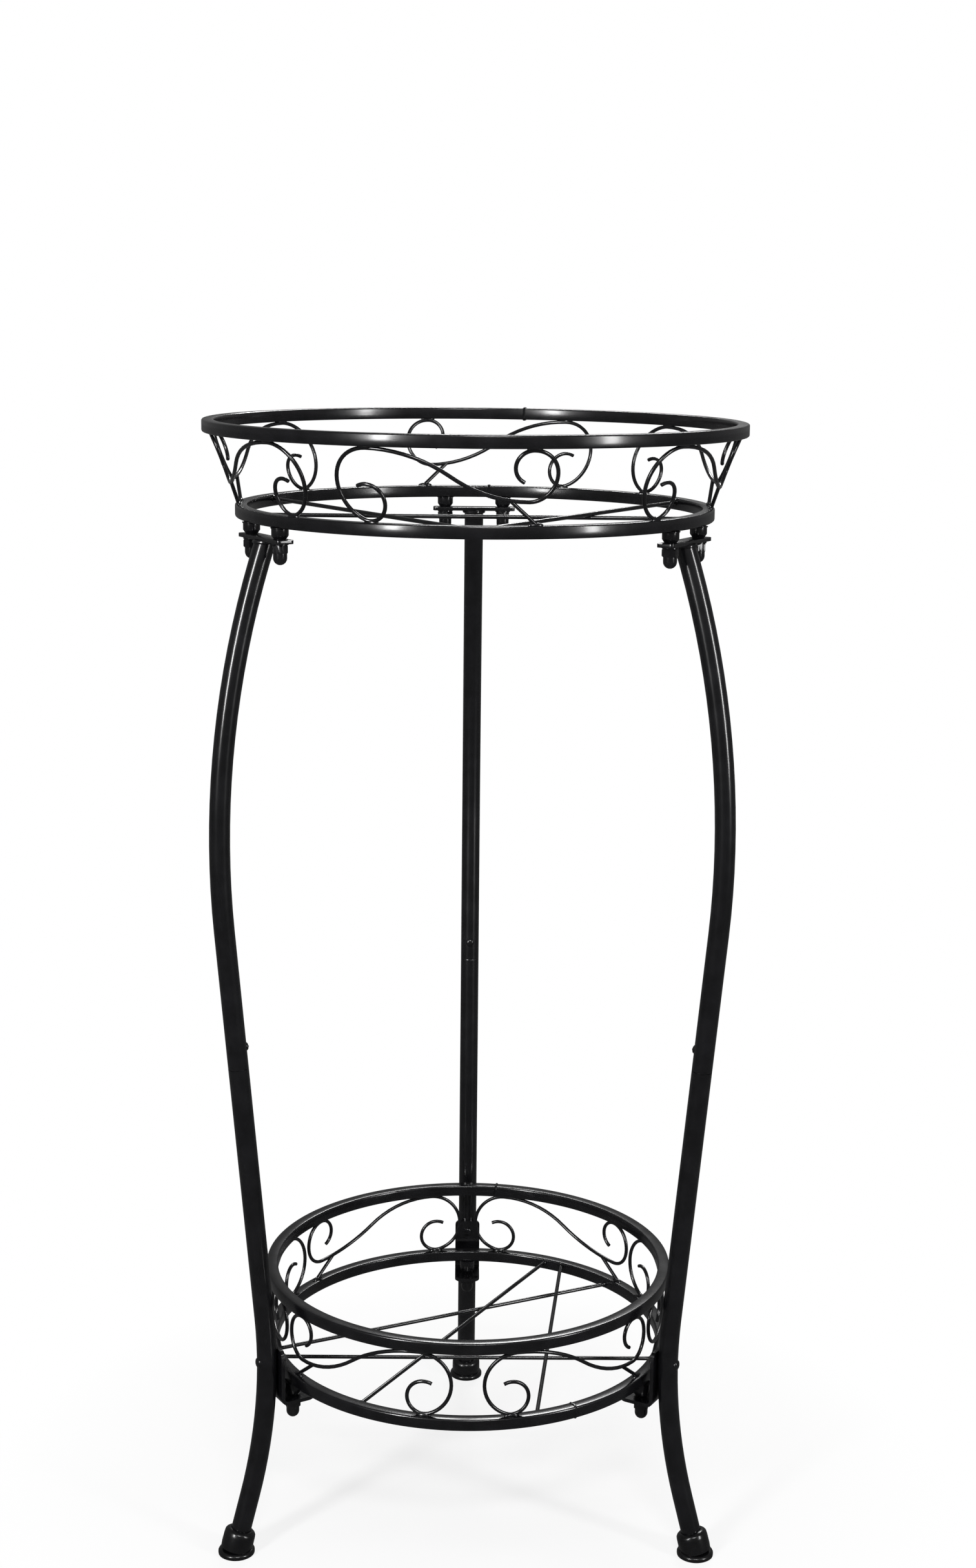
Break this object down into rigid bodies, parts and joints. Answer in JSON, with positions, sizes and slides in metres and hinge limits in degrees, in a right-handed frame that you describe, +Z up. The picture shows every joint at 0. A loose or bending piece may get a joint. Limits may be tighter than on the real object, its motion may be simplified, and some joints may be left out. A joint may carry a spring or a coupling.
{
  "type": "two-tier plant stand",
  "caption": "Tall round metal plant stand with bowed tube legs, a wide upper tray and a smaller lower tray, each edged with wire scrolls between rings.",
  "frame": {"origin": "on the floor, in the middle of the stand's bounding box", "axes": "+Z up; -Y is the front, with one leg at the back (+Y) and two at the front; +X is the right seen from the front"},
  "size_m": [0.4239, 0.4412, 0.904],
  "materials": {
    "black_paint": "glossy black powder coat over steel",
    "black_fastener": "black coated fastener",
    "bare_steel": "plain steel inside the leg joint",
    "cap_plastic": "moulded black plastic"
  },
  "bodies": {
    "root": {"upper_guard_ring": "black_paint", "upper_base_ring": "black_paint", "lower_guard_ring": "black_paint", "lower_base_ring": "black_paint", "upper_scrolls": "black_paint", "lower_scrolls": "black_paint", "upper_support_wires": "black_paint", "lower_support_wires": "black_paint", "upper_ring_studs": "black_fastener", "lower_ring_studs": "black_fastener", "upper_washers": "black_fastener", "lower_washers": "black_fastener", "upper_domed_nuts": "black_fastener", "lower_domed_nuts": "black_fastener", "leg_lower_back": "black_paint", "leg_upper_back": "black_paint", "joint_sleeve_back": "bare_steel", "joint_screw_back": "black_fastener", "foot_cap_back": "cap_plastic", "top_bracket_back": "black_paint", "angle_bracket_back": "black_paint", "sleeve_nut_back": "black_fastener", "bracket_screw_back": "black_fastener", "leg_lower_front_left": "black_paint", "leg_upper_front_left": "black_paint", "joint_sleeve_front_left": "bare_steel", "joint_screw_front_left": "black_fastener", "foot_cap_front_left": "cap_plastic", "top_bracket_front_left": "black_paint", "angle_bracket_front_left": "black_paint", "sleeve_nut_front_left": "black_fastener", "bracket_screw_front_left": "black_fastener", "leg_lower_front_right": "black_paint", "leg_upper_front_right": "black_paint", "joint_sleeve_front_right": "bare_steel", "joint_screw_front_right": "black_fastener", "foot_cap_front_right": "cap_plastic", "top_bracket_front_right": "black_paint", "angle_bracket_front_right": "black_paint", "sleeve_nut_front_right": "black_fastener", "bracket_screw_front_right": "black_fastener"}
  },
  "joints": []
}
